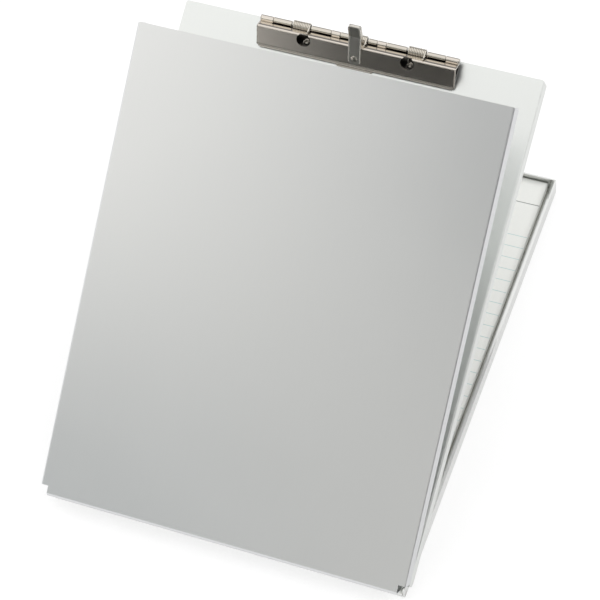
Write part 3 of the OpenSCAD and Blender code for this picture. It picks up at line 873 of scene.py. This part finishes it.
def studio_camera(studio):
    """The camera at its place, turned by its yaw, tilt and roll."""
    camera = bpy.data.cameras.new("studio_camera")
    camera.sensor_width = SENSOR_WIDTH
    camera.lens = studio.lens
    camera.shift_x = studio.shift_x
    camera.shift_y = studio.shift_y
    camera.clip_start, camera.clip_end = CAMERA_NEAR, CAMERA_FAR
    stand = link_object("studio_camera", camera)
    stand.matrix_world = (Matrix.Translation(Vector(studio.place))
                          @ Matrix.Rotation(studio.yaw, 4, "Z")
                          @ Matrix.Rotation(studio.tilt, 4, "X")
                          @ Matrix.Rotation(studio.roll, 4, "Z"))
    return stand


# ---------- operators ----------

class CLIPBOARD_OT_finish_panels(bpy.types.Operator):
    """Give the tray, the writing plate, the cover and their rod eased edges and a finish"""
    bl_idname = "clipboard_box.finish_panels"
    bl_label = "Finish panels"

    def execute(self, context):
        metals = context.scene.clipboard_metals
        for node, body, colour, slope, satin in (
                ("storage_tray", "tray", metals.tray, 0.0, TRAY_SATIN),
                ("writing_plate", "plate", metals.plate, PLATE_SLOPE, PANEL_SATIN),
                ("cover_plate", "cover", metals.cover, COVER_SLOPE, PANEL_SATIN)):
            settle(eased_copy(node, metals.ease), body, "panel_aluminium",
                   sheet_metal(node + "_satin", colour, slope, **satin), node)
        settle(eased_copy("hinge_rod", metals.ease), "tray", "rod_steel",
               plated_stock("bright_rod", metals.rod, ROD_ROUGH), "hinge_rod")
        return {"FINISHED"}


class CLIPBOARD_OT_finish_clip(bpy.types.Operator):
    """Give the clip's base, jaw, lever, pin and rivets eased edges and a plated finish"""
    bl_idname = "clipboard_box.finish_clip"
    bl_label = "Finish clip"

    def execute(self, context):
        metals = context.scene.clipboard_metals
        across = math.radians(90)
        jaw = sheet_metal("jaw_nickel", metals.clip, PLATE_SLOPE, across,
                          end_x=half_width("clip_jaw"), **JAW_SATIN)
        lever = sheet_metal("lever_nickel", metals.lever, PLATE_SLOPE,
                            end_x=half_width("thumb_lever"), **LEVER_SATIN)
        base = sheet_metal("base_nickel", metals.base, PLATE_SLOPE, across, **BASE_SATIN)
        rivet = plated_stock("rivet_nickel", metals.base, RIVET_ROUGH)
        steel = plated_stock("bright_pin", metals.rod, PIN_ROUGH)
        for node, body, slot, material, ease in (
                ("clip_base", "plate", "clip_steel", base, metals.ease),
                ("base_rivets", "plate", "rivet_metal", rivet, metals.ease),
                ("clip_pin", "plate", "rod_steel", steel, metals.ease),
                ("clip_jaw", "jaw", "clip_steel", jaw, metals.clip_ease),
                ("thumb_lever", "jaw", "clip_steel", lever, metals.lever_ease),
                ("lever_rivet", "jaw", "rivet_metal", rivet, metals.ease)):
            settle(eased_copy(node, ease), body, slot, material, node)
        return {"FINISHED"}


class CLIPBOARD_OT_wind_springs(bpy.types.Operator):
    """Wind the three torsion springs round the clip's pin"""
    bl_idname = "clipboard_box.wind_springs"
    bl_label = "Wind springs"

    def execute(self, context):
        springs = context.scene.clipboard_springs
        metals = context.scene.clipboard_metals
        material = plated_stock("spring_nickel", metals.wire, WIRE_ROUGH)
        wire_r = springs.wire_d / 2
        _, pin_y, pin_z = pin_point()
        slope = np.array(Matrix.Rotation(PLATE_SLOPE, 3, "X"))
        for node in ("spring_left", "spring_centre", "spring_right"):
            low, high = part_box(node)
            middle = np.array([(low[0] + high[0]) / 2, pin_y, pin_z])
            line = spring_line(half_width(node), springs.coil_d / 2, wire_r, springs.turns)
            points, faces = wire_surface(line @ slope.T + middle, wire_r, WIRE_SIDES)
            settle(mesh_piece(node + "_wound", points, faces), "jaw", "spring_wire", material,
                   node)
        return {"FINISHED"}


class CLIPBOARD_OT_make_pad(bpy.types.Operator):
    """Make the pad of forms: board, block of loose-edged sheets, gum line and top form"""
    bl_idname = "clipboard_box.make_pad"
    bl_label = "Make pad"

    def execute(self, context):
        forms = context.scene.clipboard_forms
        rng = np.random.default_rng(LAYER_SEED)
        low, high = (np.array(corner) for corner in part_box("pad_sheets"))
        points, faces = block_surface(low, high, forms.layers, forms.loose, rng)
        settle(mesh_piece("pad_sheets_block", points, faces, smooth=False), "tray",
               "form_paper", page_edges("page_edges", forms), "pad_sheets")
        low, high = (np.array(corner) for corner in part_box("top_form"))
        points, faces = form_surface(low, high, forms.curl)
        settle(mesh_piece("top_form_sheet", points, faces), "tray", "form_paper",
               ruled_paper("ruled_paper", forms, float(high[1]), float(low[1])), "top_form")
        settle(eased_copy("pad_backing", BOARD_EASE), "tray", "back_board",
               chipboard("pad_chipboard", forms.board), "pad_backing")
        settle(eased_copy("pad_glue", GUM_EASE), "tray", "pad_gum",
               gum("pad_gum_skin", forms.paper), "pad_glue")
        return {"FINISHED"}


class CLIPBOARD_OT_set_studio(bpy.types.Operator):
    """Set the pale floor, the soft lamps, the cards, the white surroundings and the camera"""
    bl_idname = "clipboard_box.set_studio"
    bl_label = "Set studio"

    def execute(self, context):
        scene = context.scene
        studio = scene.clipboard_studio
        studio_floor()
        soft_lamp("key_lamp", *KEY_LAMP, studio.key)
        soft_lamp("fill_lamp", *FILL_LAMP, studio.fill)
        grey_card("shade_card", SHADE_CARD, studio.card, graded=True)
        # draws the dark line along the cover's bend
        grey_card("edge_card", EDGE_CARD, studio.edge_card)
        # gives the clip's barrel its contrast
        grey_card("rear_card", REAR_CARD, studio.rear_card)
        scene.world = white_world(studio.sky)
        scene.camera = studio_camera(studio)
        scene.view_settings.view_transform = "Standard"
        return {"FINISHED"}


OPERATORS = (CLIPBOARD_OT_finish_panels, CLIPBOARD_OT_finish_clip, CLIPBOARD_OT_wind_springs,
             CLIPBOARD_OT_make_pad, CLIPBOARD_OT_set_studio)

SETTINGS = {"clipboard_metals": ClipboardMetals, "clipboard_springs": ClipboardSprings,
            "clipboard_forms": ClipboardForms, "clipboard_studio": ClipboardStudio}


class CLIPBOARD_PT_sidebar(bpy.types.Panel):
    """Sizes, colours and steps of the storage clipboard box"""
    bl_idname = "CLIPBOARD_PT_sidebar"
    bl_label = "Storage clipboard box"
    bl_space_type = "VIEW_3D"
    bl_region_type = "UI"
    bl_category = "Clipboard"

    def draw(self, context):
        for name, group in SETTINGS.items():
            box = self.layout.box()
            settings = getattr(context.scene, name)
            for key in group.__annotations__:
                box.prop(settings, key)
        for operator in OPERATORS:
            self.layout.operator(operator.bl_idname)


CLASSES = (*SETTINGS.values(), *OPERATORS, CLIPBOARD_PT_sidebar)


def register():
    """Make the classes and the scene's settings known to Blender."""
    for kind in CLASSES:
        bpy.utils.register_class(kind)
    for name, group in SETTINGS.items():
        setattr(bpy.types.Scene, name, bpy.props.PointerProperty(type=group))


def unregister():
    """Take the scene's settings and the classes back out of Blender."""
    for name in SETTINGS:
        delattr(bpy.types.Scene, name)
    for kind in reversed(CLASSES):
        bpy.utils.unregister_class(kind)


def main():
    """Run every step in order."""
    register()
    bpy.ops.clipboard_box.set_studio()
    bpy.ops.clipboard_box.finish_panels()
    bpy.ops.clipboard_box.finish_clip()
    bpy.ops.clipboard_box.wind_springs()
    bpy.ops.clipboard_box.make_pad()


if __name__ == "__main__":
    main()
